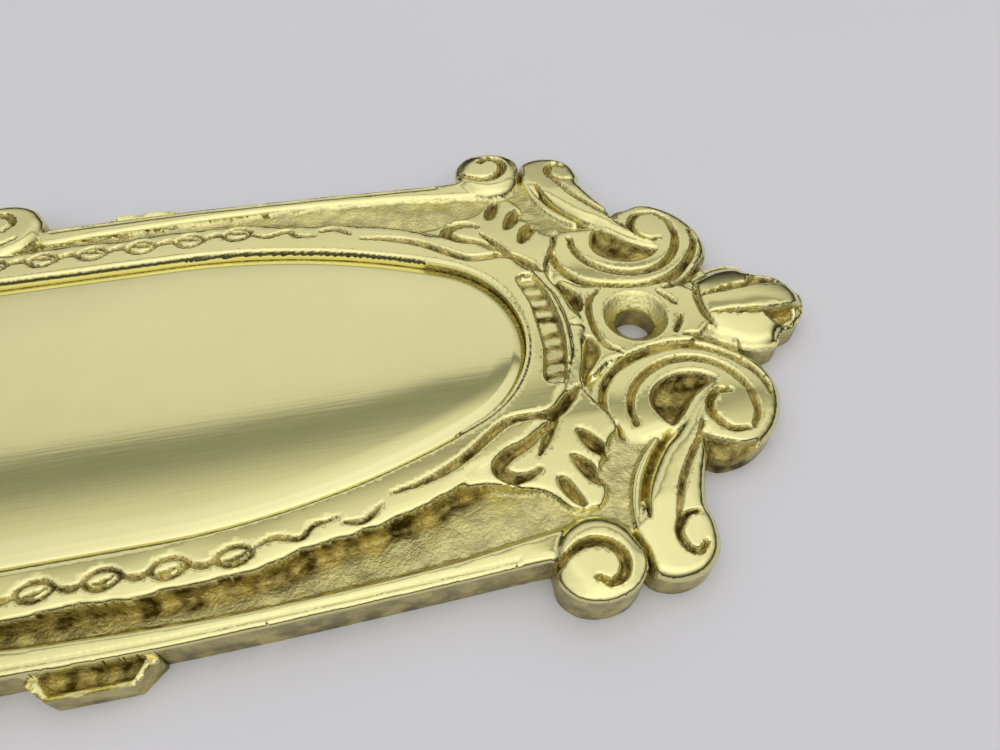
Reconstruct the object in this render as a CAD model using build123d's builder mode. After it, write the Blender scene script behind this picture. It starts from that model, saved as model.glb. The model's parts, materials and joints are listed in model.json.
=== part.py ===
"""Cast brass letter plate with a sprung flap that opens inwards.

Frame: the plate lies on its back. +X runs along the plate, +Y is its hinge edge (the upper
edge on a door), +Z points out of the door. The origin is the centre of the back plane.
All sizes are in millimetres.
"""
import os
from math import asin, cos, radians, sin

from build123d import *

# ---------------------------------------------------------------- plate, overall
plate_length = 254.0        # tip to tip
plate_width = 74.6          # over the middle volutes
edge_height = 6.0           # top of the ring round the flap
rail_height = 5.0
boss_height = 6.3           # top of the corner and middle volutes
wall = 2.0                  # metal thickness of the outer wall
field_height = 4.6          # carved ground at the two ends
channel_height = 3.4        # sunken ground between ring and rail
channel_metal = 1.6         # metal left under the sunken ground

# ---------------------------------------------------------------- aperture for the flap
opening_length = 177.0
opening_width = 41.6
opening_end_radius = 14.0   # tight arc at each end
opening_straight = 87.0     # straight length of each long side
ring_width = 6.0            # flat border round the aperture
lip_metal = 2.0             # metal of the border over the flap

# ---------------------------------------------------------------- ornament at the ends
rail_bow = 1.2              # how far each rail bows outwards at its middle
rail_width = 3.4
rail_inset = 6.6            # from the width line to the rail where it meets a volute
corner_volute_radius = 4.9
corner_volute_inset = 37.6  # from the tip to the volute's centre
corner_volute_drop = 1.2    # from the width line to the volute's outer edge
second_volute_radius = 4.4
second_volute_height = 4.9
second_volute_inset = 27.8
second_volute_drop = 7.3    # from the width line to its centre
scroll_radius = 8.0
scroll_inset = 17.6         # from the tip to the big scroll's centre
scroll_half_pitch = 13.8    # from the centreline to the big scroll's centre
pod_length = 16.0           # bud at the tip
pod_width = 15.4
pod_height = 5.0
scroll_height = 5.2
mid_volute_radius = 5.8
mid_volute_half_pitch = 19.5
mid_crest_length = 28.0     # raised crest between the two middle volutes
crest_depth = 8.0
tab_length = 12.5
tab_reach = 2.6             # how far a side tab stands out from the rail
tab_middle = 38.5           # from the plate's middle to the tab's middle
tab_frame = 0.9
tab_height = 3.0
tab_recess = 1.0
shoulder = 0.3              # step round the foot of each raised boss

# ---------------------------------------------------------------- fixing screws
screw_inset = 23.5          # from the tip to the screw hole
screw_bore_radius = 2.5
countersink_radius = 4.25
countersink_angle = 90.0
screw_boss_radius = 6.5

# ---------------------------------------------------------------- flap and its hinge
flap_overlap = 1.2          # flap behind the ring, all round
flap_thickness = 1.5
flap_clearance = 0.15       # between the flap's rim and the ring's back
flap_dome = 1.4             # rise of the pillow-shaped middle
flap_dome_gap = 0.4         # between the dome's foot and the aperture wall
flap_dome_slope = 7.0       # from the dome's foot to its highest part
pin_radius = 0.9
pin_running_gap = 0.05      # radial, in knuckles and lugs
pin_overhang = 1.2          # pin standing out past each lug
knuckle_radius = 1.65
knuckle_length = 5.0
knuckle_stand_off = 0.35    # between the flap's rim and the knuckles
lug_extra_radius = 0.15     # lugs stand this much further round the pin than the knuckles
lug_root = 0.4              # depth of each lug in the wall behind it
lug_middle = 44.0           # from the plate's middle to each lug
lug_thickness = 3.0
washer_thickness = 0.8
washer_radius = 1.6
side_gap = 0.1              # end float between parts on the pin
clip_thickness = 0.5
clip_radius = 1.6
pocket_margin = 5.2         # room behind the ring for flap edge and hinge

# ---------------------------------------------------------------- springs
spring_wire = 0.6
spring_length = 9.0
coil_gap = 0.1              # between the coil and the pin
leg_gap = 0.05              # between a leg's end and the metal it presses
spring_leg_flap = 9.0       # reach of the leg that presses the flap
leg_radius = 0.25           # under the wire's own, so a leg starts inside the sleeve's wall
spring_leg_plate = 4.6      # reach of the leg that presses the plate

# ---------------------------------------------------------------- worked out from the above
half_length = plate_length / 2
half_width = plate_width / 2
screw_x = half_length - screw_inset
rail_outer_y = half_width - rail_inset
corner_volute = (
    half_length - corner_volute_inset,
    half_width - corner_volute_drop - corner_volute_radius,
)
second_volute = (half_length - second_volute_inset, half_width - second_volute_drop)
scroll = (half_length - scroll_inset, scroll_half_pitch)
mid_volute = (mid_volute_half_pitch, half_width - mid_volute_radius)
ground_start = corner_volute[0] - corner_volute_radius / 2
flap_half_width = opening_width / 2 + flap_overlap
lip_back = edge_height - lip_metal
flap_front = lip_back - flap_clearance
flap_back = flap_front - flap_thickness
pin_z = flap_front - knuckle_radius
pin_y = flap_half_width + knuckle_stand_off + knuckle_radius
lug_inner_x = lug_middle - lug_thickness / 2
lug_outer_x = lug_middle + lug_thickness / 2
washer_x = lug_inner_x - side_gap - washer_thickness
knuckle_x = washer_x - side_gap - knuckle_length
spring_x = knuckle_x - side_gap - spring_length
pin_half_length = lug_outer_x + pin_overhang
coil_radius = pin_radius + coil_gap + spring_wire / 2
lug_radius = knuckle_radius + lug_extra_radius


# ---------------------------------------------------------------- outlines
def oval(margin):
    """The aperture's outline as a face, grown by margin all round."""
    half_l = opening_length / 2 + margin
    half_w = opening_width / 2 + margin
    end_radius = opening_end_radius + margin
    flat = opening_straight / 2
    reach = half_l - end_radius - flat
    shoulder_radius = (reach**2 + half_w**2 - end_radius**2) / (2 * (half_w - end_radius))
    turn = asin(reach / (shoulder_radius - end_radius))

    def on_shoulder(angle):
        return (
            flat + shoulder_radius * sin(angle),
            half_w - shoulder_radius + shoulder_radius * cos(angle),
        )

    def on_end(angle):
        return (half_l - end_radius + end_radius * sin(angle), end_radius * cos(angle))

    with BuildSketch() as face:
        with BuildLine():
            Line((0, half_w), (flat, half_w))
            ThreePointArc((flat, half_w), on_shoulder(turn / 2), on_shoulder(turn))
            ThreePointArc(on_shoulder(turn), on_end((turn + radians(90)) / 2), (half_l, 0))
            mirror(about=Plane.XZ)
            mirror(about=Plane.YZ)
        make_face()
    return face.sketch


def plate_outline():
    """The whole outline of the casting, without its tabs."""
    rail_middle = (mid_volute[0] + corner_volute[0]) / 2
    with BuildSketch() as outline:
        with BuildLine():
            Polyline((0, 0), (0, rail_outer_y), (mid_volute[0], rail_outer_y))
            ThreePointArc(
                (mid_volute[0], rail_outer_y),
                (rail_middle, rail_outer_y + rail_bow),
                (corner_volute[0], rail_outer_y),
            )
            Polyline(
                (corner_volute[0], rail_outer_y),
                (second_volute[0], second_volute[1] + second_volute_radius / 4),
                (scroll[0] - scroll_radius / 3, scroll[1] + scroll_radius * 3 / 4),
                (scroll[0] + scroll_radius / 2, scroll[1]),
                (half_length - pod_length / 2, pod_width / 3),
                (half_length - pod_length / 2, 0),
                (0, 0),
            )
        make_face()
        with Locations(corner_volute):
            Circle(corner_volute_radius)
        with Locations(second_volute):
            Circle(second_volute_radius)
        with Locations(scroll):
            Circle(scroll_radius)
        with Locations(mid_volute):
            Circle(mid_volute_radius)
        with Locations((mid_crest_length / 4, half_width - crest_depth / 2)):
            Rectangle(mid_crest_length / 2, crest_depth)
        with Locations((half_length - pod_length / 2, 0)):
            Ellipse(pod_length / 2, pod_width / 2)
        mirror(about=Plane.XZ)
        mirror(about=Plane.YZ)
    return outline.sketch


def rail_band():
    """Top faces of the two bowed rails, between the volutes, on both halves."""
    rail_middle = (mid_volute[0] + corner_volute[0]) / 2
    inner = rail_outer_y - rail_width
    with BuildSketch() as band:
        with BuildLine():
            ThreePointArc(
                (mid_volute[0], rail_outer_y),
                (rail_middle, rail_outer_y + rail_bow),
                (corner_volute[0], rail_outer_y),
            )
            Line((corner_volute[0], rail_outer_y), (corner_volute[0], inner))
            ThreePointArc(
                (corner_volute[0], inner),
                (rail_middle, inner + rail_bow),
                (mid_volute[0], inner),
            )
            Line((mid_volute[0], inner), (mid_volute[0], rail_outer_y))
        make_face()
        mirror(about=Plane.XZ)
        mirror(about=Plane.YZ)
    return band.sketch


# ---------------------------------------------------------------- the casting
def front_plate():
    """The cast plate: border ring, sunken ground, rails, end ornament, lugs and screw holes."""
    outline = plate_outline()
    four_ways = [(sx, sy) for sx in (1, -1) for sy in (1, -1)]
    tab_y = rail_outer_y + rail_bow + (tab_reach - wall) / 2
    recess_y = rail_outer_y + rail_bow + tab_reach - tab_frame - tab_recess / 2
    with BuildPart() as casting:
        add(outline)
        extrude(amount=channel_height)

        # carved ground at each end, beyond the rails
        with BuildSketch(Plane.XY.offset(channel_height)):
            add(outline)
            with Locations((ground_start - plate_length / 2, 0)):
                Rectangle(plate_length, plate_width * 2, mode=Mode.SUBTRACT)
            mirror(about=Plane.YZ)
        extrude(amount=field_height - channel_height)

        # border ring and rails
        with BuildSketch(Plane.XY.offset(channel_height)):
            add(oval(ring_width))
        extrude(amount=edge_height - channel_height)
        with BuildSketch(Plane.XY.offset(channel_height)):
            add(rail_band())
        extrude(amount=rail_height - channel_height)

        # volutes, scrolls and buds stand up from the ground
        for centre, radius, height in (
            (corner_volute, corner_volute_radius, boss_height),
            (second_volute, second_volute_radius, second_volute_height),
            (scroll, scroll_radius, scroll_height),
            (mid_volute, mid_volute_radius, boss_height),
        ):
            with BuildSketch(Plane.XY.offset(channel_height)):
                with Locations([(sx * centre[0], sy * centre[1]) for sx, sy in four_ways]):
                    Circle(radius - shoulder)
            extrude(amount=height - channel_height)
        with BuildSketch(Plane.XY.offset(channel_height)):
            with Locations((half_length - pod_length / 2, 0), (pod_length / 2 - half_length, 0)):
                Ellipse(pod_length / 2 - shoulder, pod_width / 2 - shoulder)
        extrude(amount=pod_height - channel_height)
        with BuildSketch(Plane.XY.offset(channel_height)):
            with Locations((0, half_width - crest_depth / 2), (0, crest_depth / 2 - half_width)):
                Rectangle(mid_crest_length - 2 * shoulder, crest_depth - 2 * shoulder)
        extrude(amount=rail_height - channel_height)

        # side tabs
        for sx, sy in four_ways:
            with Locations((sx * tab_middle, sy * tab_y, tab_height / 2)):
                Box(tab_length, tab_reach + wall, tab_height)
            with Locations((sx * tab_middle, sy * recess_y, tab_height)):
                Box(tab_length - 2 * tab_frame, tab_recess, tab_recess, mode=Mode.SUBTRACT)

        # hollow back, screw bosses left standing
        with BuildSketch():
            Rectangle(2 * second_volute[0], 2 * (rail_outer_y - wall))
            Rectangle(2 * (scroll[0] + wall), 2 * (scroll[1] - wall))
            with Locations((screw_x, 0), (-screw_x, 0)):
                Circle(screw_boss_radius, mode=Mode.SUBTRACT)
        extrude(amount=channel_height - channel_metal, mode=Mode.SUBTRACT)
        with BuildSketch():
            add(oval(pocket_margin))
        extrude(amount=lip_back, mode=Mode.SUBTRACT)
        with BuildSketch():
            add(oval(0))
        extrude(amount=edge_height, mode=Mode.SUBTRACT)

        # hinge lugs on the back of the ring
        wall_y = opening_width / 2 + pocket_margin + lug_root
        for side in (1, -1):
            with BuildSketch(Plane.YZ.offset(side * lug_middle - lug_thickness / 2)):
                with Locations((pin_y, pin_z)):
                    Circle(lug_radius)
                with Locations(((pin_y - lug_radius + wall_y) / 2, (pin_z + lip_back) / 2)):
                    Rectangle(wall_y - pin_y + lug_radius, lip_back - pin_z)
            extrude(amount=lug_thickness)
        with BuildSketch(Plane.YZ.offset(-pin_half_length)):
            with Locations((pin_y, pin_z)):
                Circle(pin_radius + pin_running_gap)
        extrude(amount=2 * pin_half_length, mode=Mode.SUBTRACT)

        # countersunk screw holes
        with Locations((screw_x, 0, field_height), (-screw_x, 0, field_height)):
            CounterSinkHole(screw_bore_radius, countersink_radius, counter_sink_angle=countersink_angle)
    casting.part.label = "front_plate"
    return casting.part


# ---------------------------------------------------------------- the flap
def flap():
    """Long oval flap with a pillow-shaped front and two hinge knuckles on its upper edge."""
    web = flap_half_width - lip_metal
    foot = flap_front + flap_dome / 3
    with BuildPart() as leaf:
        with BuildSketch(Plane.XY.offset(flap_back)):
            add(oval(flap_overlap))
        extrude(amount=flap_thickness)
        with BuildSketch(Plane.XY.offset(flap_front)):
            add(oval(-flap_dome_gap))
        extrude(amount=flap_dome / 3)
        with BuildSketch(Plane.XY.offset(foot)):
            add(oval(-flap_dome_gap))
        with BuildSketch(Plane.XY.offset(flap_front + flap_dome)):
            add(oval(-flap_dome_gap - flap_dome_slope))
        loft()
        for start in (knuckle_x, -knuckle_x - knuckle_length):
            with BuildSketch(Plane.YZ.offset(start)):
                with Locations((pin_y, pin_z)):
                    Circle(knuckle_radius)
                with Locations(((web + pin_y) / 2, flap_front - flap_thickness / 2)):
                    Rectangle(pin_y - web, flap_thickness)
            extrude(amount=knuckle_length)
        with BuildSketch(Plane.YZ.offset(-pin_half_length)):
            with Locations((pin_y, pin_z)):
                Circle(pin_radius + pin_running_gap)
        extrude(amount=2 * pin_half_length, mode=Mode.SUBTRACT)
    leaf.part.label = "flap"
    return leaf.part


# ---------------------------------------------------------------- what is on the hinge axis
def hinge_pin():
    """Plain round rod through both lugs and both knuckles."""
    with BuildPart() as rod:
        with BuildSketch(Plane.YZ.offset(-pin_half_length)):
            with Locations((pin_y, pin_z)):
                Circle(pin_radius)
        extrude(amount=2 * pin_half_length)
        chamfer(rod.edges().group_by(Axis.X)[0] + rod.edges().group_by(Axis.X)[-1], pin_radius / 4)
    rod.part.label = "hinge_pin"
    return rod.part


def ring_on_pin(label, start, thickness, outer_radius, bore_radius):
    """A washer or clip: a flat ring round the pin, from start along +X."""
    with BuildPart() as flat_ring:
        with BuildSketch(Plane.YZ.offset(start)):
            with Locations((pin_y, pin_z)):
                Circle(outer_radius)
                Circle(bore_radius, mode=Mode.SUBTRACT)
        extrude(amount=thickness)
    flat_ring.part.label = label
    return flat_ring.part


def spring(label, side):
    """Torsion spring: its coil as a sleeve round the pin, and its two straight legs."""
    low = spring_x if side > 0 else -spring_x - spring_length
    leg_start_z = pin_z - coil_radius
    outer_end = side * (spring_x + spring_length - spring_wire / 2)
    inner_end = side * (spring_x + spring_wire / 2)
    flap_leg_end = (outer_end, pin_y - spring_leg_flap, flap_back - spring_wire / 2 - leg_gap)
    plate_leg_end = (
        inner_end,
        pin_y + spring_leg_plate,
        channel_height - channel_metal - spring_wire / 2 - leg_gap,
    )
    with BuildPart() as wound:
        with BuildSketch(Plane.YZ.offset(low)):
            with Locations((pin_y, pin_z)):
                Circle(coil_radius + spring_wire / 2)
                Circle(coil_radius - spring_wire / 2, mode=Mode.SUBTRACT)
        extrude(amount=spring_length)
        for leg_x, leg_end in ((outer_end, flap_leg_end), (inner_end, plate_leg_end)):
            start = Vector(leg_x, pin_y, leg_start_z)
            run = Vector(*leg_end) - start
            with BuildSketch(Plane(origin=start, z_dir=run)):
                Circle(leg_radius)
            extrude(amount=run.length)
    wound.part.label = label
    return wound.part


# ---------------------------------------------------------------- write every piece
def all_pieces():
    pieces = [front_plate(), flap(), hinge_pin()]
    for name, side in (("right", 1), ("left", -1)):
        washer_low = washer_x if side > 0 else -washer_x - washer_thickness
        clip_low = lug_outer_x + side_gap if side > 0 else -lug_outer_x - side_gap - clip_thickness
        pieces.append(spring(f"spring_{name}", side))
        pieces.append(
            ring_on_pin(
                f"spacer_washer_{name}",
                washer_low,
                washer_thickness,
                washer_radius,
                pin_radius + pin_running_gap,
            )
        )
        pieces.append(ring_on_pin(f"pin_clip_{name}", clip_low, clip_thickness, clip_radius, pin_radius))
    return pieces


os.makedirs("parts", exist_ok=True)
for piece in all_pieces():
    export_step(piece, f"parts/{piece.label}.step")
    box = piece.bounding_box()
    print(piece.label, [round(v, 2) for v in (*box.min, *box.max)], "volume", round(piece.volume, 1))
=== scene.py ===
# %% [markdown]
# # A cast brass letter plate
# The plate lies on its back on a pale table, seen from close by. This lesson loads the CAD frame,
# sets the camera and the light, mixes the metals, and then builds the casting, its flap and the
# small parts of the hinge. Lengths are written in millimetres and turned to metres by MM.

# %% Load the frame
import json
from math import asin, cos, pi, radians, sin

import bpy
import bmesh
import numpy as np
from mathutils import Matrix, Vector
from mathutils.geometry import delaunay_2d_cdt
from mathutils.kdtree import KDTree


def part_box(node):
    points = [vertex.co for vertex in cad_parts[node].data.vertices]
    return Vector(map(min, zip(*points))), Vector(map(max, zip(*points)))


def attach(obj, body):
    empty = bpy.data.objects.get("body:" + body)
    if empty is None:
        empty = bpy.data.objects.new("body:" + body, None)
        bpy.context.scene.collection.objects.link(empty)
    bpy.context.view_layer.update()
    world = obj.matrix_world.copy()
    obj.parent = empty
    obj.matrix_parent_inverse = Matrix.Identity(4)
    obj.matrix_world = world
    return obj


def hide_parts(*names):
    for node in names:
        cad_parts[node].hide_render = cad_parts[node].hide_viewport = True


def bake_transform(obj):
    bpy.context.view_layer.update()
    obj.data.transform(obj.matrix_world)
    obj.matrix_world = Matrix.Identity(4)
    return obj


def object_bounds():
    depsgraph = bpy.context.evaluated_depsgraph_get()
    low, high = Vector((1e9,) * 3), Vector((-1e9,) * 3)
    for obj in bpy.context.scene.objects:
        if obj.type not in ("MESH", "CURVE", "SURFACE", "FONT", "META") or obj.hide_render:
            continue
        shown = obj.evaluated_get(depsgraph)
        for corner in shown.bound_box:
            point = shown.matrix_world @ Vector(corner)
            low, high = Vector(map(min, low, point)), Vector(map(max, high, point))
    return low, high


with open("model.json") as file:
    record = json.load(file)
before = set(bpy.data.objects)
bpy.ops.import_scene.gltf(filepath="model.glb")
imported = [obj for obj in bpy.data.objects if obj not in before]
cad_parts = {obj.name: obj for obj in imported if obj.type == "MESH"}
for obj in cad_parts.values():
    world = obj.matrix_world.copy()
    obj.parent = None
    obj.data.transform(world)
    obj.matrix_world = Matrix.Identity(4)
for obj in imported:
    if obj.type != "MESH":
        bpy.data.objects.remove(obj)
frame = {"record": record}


def as_list(bounds):
    """A pair of corners as plain lists of numbers."""
    return [[float(v) for v in corner] for corner in bounds]


MM = 0.001
PLATE, FLAP = "plate", "flap"
cad_box = as_list(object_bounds())
print("CAD box", cad_box)

# %% [markdown]
# ## Camera
# The camera is held over one end of the plate, a hand's breadth away, as somebody does who wants
# to show the ornament. It is aimed at a point on the table and has a wide lens, so near things
# look larger than far ones. Only the right-hand end of the plate is in view.

# %% Camera
HALF_LENGTH = cad_box[1][0] / MM
HALF_WIDTH = cad_box[1][1] / MM
hole = frame["record"]["mounts"][0]["dims"]["spacing_x_mm"] / 2
CAMERA_AZIMUTH, CAMERA_ELEVATION, CAMERA_ROLL = radians(-11.5), radians(53.5), radians(0.3)
CAMERA_DISTANCE = 98.4
AIM = Vector((hole - 18.6, -2.6, 0))

towards = Vector((
    sin(CAMERA_AZIMUTH) * cos(CAMERA_ELEVATION),
    -cos(CAMERA_AZIMUTH) * cos(CAMERA_ELEVATION),
    sin(CAMERA_ELEVATION),
))
camera_data = bpy.data.cameras.new("camera")
camera_data.sensor_width = 36.0
camera_data.lens = 27.1
camera_data.clip_start = 0.005
camera = bpy.data.objects.new("camera", camera_data)
bpy.context.collection.objects.link(camera)
turn = towards.to_track_quat("Z", "Y").to_matrix().to_4x4() @ Matrix.Rotation(CAMERA_ROLL, 4, "Z")
camera.matrix_world = Matrix.Translation((AIM + towards * CAMERA_DISTANCE) * MM) @ turn
bpy.context.scene.camera = camera
print("camera at", [round(v, 4) for v in camera.matrix_world.translation])

# %% [markdown]
# ## Colours and nodes
# Colours are written as hex values, as a paint chart gives them, and one function turns them to
# the linear values that the shader wants. One more function adds a node with its settings and
# its links.

# %% Two helpers for materials


def colour(hex_value):
    """An sRGB hex colour as linear RGBA."""
    parts = [int(hex_value[i:i + 2], 16) / 255 for i in (1, 3, 5)]
    linear = [v / 12.92 if v <= 0.04045 else ((v + 0.055) / 1.055) ** 2.4 for v in parts]
    return (*linear, 1.0)


def add_node(tree, kind, values=None, **settings):
    """Adds a node. values sets its inputs: a socket is linked, anything else is stored."""
    node = tree.nodes.new(kind)
    for name, value in settings.items():
        setattr(node, name, value)
    for name, value in (values or {}).items():
        if isinstance(value, bpy.types.NodeSocket):
            tree.links.new(value, node.inputs[name])
        else:
            node.inputs[name].default_value = value
    return node


# %% [markdown]
# ## Light
# Polished brass shows hardly any light and shade of its own: it shows the room. So the room
# matters more than the lamps, which are hidden from reflections. It is a pale one, bright
# overhead, with a softer and darker zone low down all round. The side towards the viewer is
# brighter, which puts a light line on every edge that leans that way, and one broad dim strip
# high up behind the plate is what the flat flap mirrors as a grey-green band near its front edge.

# %% World and table
world = bpy.data.worlds.new("pale_room")
bpy.context.scene.world = world
bpy.context.scene.view_settings.view_transform = "Standard"
world.use_nodes = True
sky = world.node_tree
sky.nodes.clear()
direction = add_node(sky, "ShaderNodeTexCoord").outputs["Generated"]
parts = add_node(sky, "ShaderNodeSeparateXYZ", {"Vector": direction})


def colour_ramp(tree, value, stops):
    """A colour ramp over value with (position, hex colour) stops."""
    node = add_node(tree, "ShaderNodeValToRGB", {"Fac": value})
    elements = node.color_ramp.elements
    elements[0].position, elements[0].color = stops[0][0], colour(stops[0][1])
    elements[1].position, elements[1].color = stops[-1][0], colour(stops[-1][1])
    for position, tint in stops[1:-1]:
        elements.new(position).color = colour(tint)
    return node.outputs["Color"]


ROOM_STRENGTH, WINDOW_STRENGTH = 1.35, 2.1
room = colour_ramp(sky, parts.outputs["Z"], (
    (0.0, "#191813"), (0.16, "#312f2b"), (0.3, "#66655f"), (0.44, "#a8a8a3"), (0.66, "#d2d2d0"),
    (0.86, "#dededc"), (1.0, "#f2f2f0")))
lean = add_node(sky, "ShaderNodeMath", {0: parts.outputs["Y"], 1: parts.outputs["Z"]},
                operation="DIVIDE")
beam = colour_ramp(sky, lean.outputs["Value"], (
    (0.0, "#ffffff"), (0.45, "#ffffff"), (0.54, "#eeede4"), (0.60, "#bcbdb3"), (0.635, "#989c91"),
    (0.70, "#8f9388"), (0.715, "#f4f3ee"), (1.0, "#ffffff")))
shaded = add_node(sky, "ShaderNodeMix", {"Factor": 1.0}, data_type="RGBA", blend_type="MULTIPLY")
sky.links.new(room, shaded.inputs["A"])
sky.links.new(beam, shaded.inputs["B"])
window = add_node(sky, "ShaderNodeMapRange", {
    "Value": parts.outputs["Y"], "From Min": -0.15, "From Max": -0.6,
    "To Min": ROOM_STRENGTH, "To Max": WINDOW_STRENGTH})
background = add_node(sky, "ShaderNodeBackground", {
    "Color": shaded.outputs["Result"], "Strength": window.outputs["Result"]})
add_node(sky, "ShaderNodeOutputWorld", {"Surface": background.outputs["Background"]})


def soft_lamp(name, place, aim, size, watts, tint):
    """A square area lamp at place, facing aim."""
    data = bpy.data.lights.new(name, "AREA")
    data.shape, data.size, data.energy, data.color = "SQUARE", size * MM, watts, colour(tint)[:3]
    lamp = bpy.data.objects.new(name, data)
    bpy.context.collection.objects.link(lamp)
    facing = (Vector(aim) - Vector(place)).to_track_quat("-Z", "Y").to_matrix().to_4x4()
    lamp.matrix_world = Matrix.Translation(Vector(place) * MM) @ facing
    lamp.visible_glossy = False
    return lamp


soft_lamp("ceiling_panel", (60, 160, 520), (60, 0, 0), 420, 0.22, "#fffdf8")
soft_lamp("side_window", (420, 60, 260), (80, 0, 0), 240, 0.08, "#fbfdff")


def table_paint():
    """Matt pale laminate, very slightly lavender, with a faint unevenness."""
    material = bpy.data.materials.new("pale_laminate")
    material.use_nodes = True
    tree = material.node_tree
    shader = tree.nodes["Principled BSDF"]
    place = add_node(tree, "ShaderNodeTexCoord").outputs["Object"]
    cloud = add_node(tree, "ShaderNodeTexNoise", {"Vector": place, "Scale": 9.0, "Detail": 3.0})
    mix = add_node(tree, "ShaderNodeMix", {"Factor": cloud.outputs["Fac"]}, data_type="RGBA")
    mix.inputs["A"].default_value, mix.inputs["B"].default_value = colour("#cccbd1"), colour("#d3d2d8")
    tree.links.new(mix.outputs["Result"], shader.inputs["Base Color"])
    shader.inputs["Roughness"].default_value = 0.62
    shader.inputs["Specular IOR Level"].default_value = 0.3
    return material


TABLE_SIZE, TABLE_DROP = 6.0, 0.05 * MM
bpy.ops.object.select_all(action="DESELECT")
bpy.ops.mesh.primitive_plane_add(size=TABLE_SIZE, location=(0, 0, -TABLE_DROP))
table = bpy.context.object
table.name = "table"
table.data.materials.append(table_paint())
print("table, world and two lamps")

# %% [markdown]
# ## The metals
# The plate is sand cast brass. Where the finisher's belt and mop could reach it is bright, with
# fine scratches, and reflects the room. Where they could not, the skin of the casting is left:
# grainy, dull and browner. A vertex attribute called *skin* says which is which, 0 for polished
# and 1 for cast skin, and one material blends the two. Next to the ring's foot the ground is kept
# at full skin, which also paints the shade under the ring's edge as a dark brown band. The grain
# of moulding sand is 0.2 to 0.5 mm. The scratches of the mop are drawn about 0.35 mm apart, much
# coarser than life, so that they show at all.

# %% Polished and cast brass
SCRATCH_PITCH, SCRATCH_HEIGHT = 0.35 * MM, 0.02 * MM
SAND_GRAIN, SAND_HEIGHT = 0.45 * MM, 0.32 * MM
PATCH_SIZE, BLOT_SIZE = 9 * MM, 2.2 * MM
CAST_GLOSS = (0.26, 0.55)


def cast_brass(name, bright, dull, scratch_run, scratch_depth, gloss_range):
    """Sand cast brass, mopped bright where the attribute skin is 0."""
    material = bpy.data.materials.new(name)
    material.use_nodes = True
    tree = material.node_tree
    shader = tree.nodes["Principled BSDF"]
    place = add_node(tree, "ShaderNodeTexCoord").outputs["Object"]
    skin = add_node(tree, "ShaderNodeAttribute", attribute_name="skin").outputs["Fac"]

    # scratches run along the plate: stretched noise
    stretch = add_node(tree, "ShaderNodeMapping", {"Vector": place})
    stretch.inputs["Scale"].default_value = (1.0 / scratch_run, 1.0, 1.0)
    scratch = add_node(tree, "ShaderNodeTexNoise", {
        "Vector": stretch.outputs["Vector"], "Scale": 1 / SCRATCH_PITCH, "Detail": 3.0,
        "Roughness": 0.6})
    patch = add_node(tree, "ShaderNodeTexNoise", {"Vector": place, "Scale": 1 / PATCH_SIZE, "Detail": 2.0})
    sand = add_node(tree, "ShaderNodeTexNoise", {
        "Vector": place, "Scale": 1 / SAND_GRAIN, "Detail": 4.0, "Roughness": 0.6})
    blot = add_node(tree, "ShaderNodeTexNoise", {"Vector": place, "Scale": 1 / BLOT_SIZE, "Detail": 3.0})

    tint = add_node(tree, "ShaderNodeMix", {"Factor": patch.outputs["Fac"]}, data_type="RGBA")
    tint.inputs["A"].default_value = colour(bright[0])
    tint.inputs["B"].default_value = colour(bright[1])
    brown = colour_ramp(tree, blot.outputs["Fac"], ((0.36, dull[0]), (0.64, dull[1])))
    both = add_node(tree, "ShaderNodeMix", {"Factor": skin}, data_type="RGBA")
    tree.links.new(tint.outputs["Result"], both.inputs["A"])
    tree.links.new(brown, both.inputs["B"])
    tree.links.new(both.outputs["Result"], shader.inputs["Base Color"])

    mopped = add_node(tree, "ShaderNodeMapRange", {
        "Value": scratch.outputs["Fac"], "To Min": gloss_range[0], "To Max": gloss_range[1]})
    grainy = add_node(tree, "ShaderNodeMapRange", {
        "Value": sand.outputs["Fac"], "To Min": CAST_GLOSS[0], "To Max": CAST_GLOSS[1]})
    gloss = add_node(tree, "ShaderNodeMix", {"Factor": skin})
    tree.links.new(mopped.outputs["Result"], gloss.inputs["A"])
    tree.links.new(grainy.outputs["Result"], gloss.inputs["B"])
    tree.links.new(gloss.outputs["Result"], shader.inputs["Roughness"])

    lines = add_node(tree, "ShaderNodeBump", {
        "Height": scratch.outputs["Fac"], "Strength": scratch_depth, "Distance": SCRATCH_HEIGHT})
    depth = add_node(tree, "ShaderNodeMapRange", {"Value": skin, "From Min": 0.05, "From Max": 0.45})
    grain = add_node(tree, "ShaderNodeBump", {
        "Height": sand.outputs["Fac"], "Strength": depth.outputs["Result"], "Distance": SAND_HEIGHT,
        "Normal": lines.outputs["Normal"]})
    tree.links.new(grain.outputs["Normal"], shader.inputs["Normal"])
    shader.inputs["Metallic"].default_value = 1.0
    return material


PLATE_SCRATCHES, FLAP_SCRATCHES = (14.0, 0.06), (30.0, 0.09)
BRIGHT = ("#e6dfa4", "#e0d89a")
DULL = ("#4f3e10", "#d2c074")
# the plate: a short soft mop polish, which blurs the room a little; the flap: a longer one along
# its length, with a clearer mirror and faint straight lines
plate_brass = cast_brass("cast_brass_plate", BRIGHT, DULL, *PLATE_SCRATCHES, (0.08, 0.19))
flap_brass = cast_brass("cast_brass_flap", ("#e5dfa8", "#dfd8a0"), DULL, *FLAP_SCRATCHES, (0.04, 0.12))
print("brass mixed")

# %% [markdown]
# ## Setting out the ornament
# A founder's carver cuts this ornament once, in a pattern, and every plate is cast from it. The
# whole front is one skin of metal with a height everywhere and no undercuts, or the pattern
# would not leave the sand. So here it is carved the same way: a few functions raise bodies, cut
# grooves and sink pockets in a height that is known for any point of the plate. Points of the
# ornament are given as (along, out): along is measured from the screw hole towards the tip, out
# from the centreline, so one quarter of the plate says it all.
#
# It could also be pushed out of a plane with extrude, inset and bevel, body by body. But here
# bodies melt into each other and grooves run across several of them, and a height lets each cut
# be made once, whatever lies under it.

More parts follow.
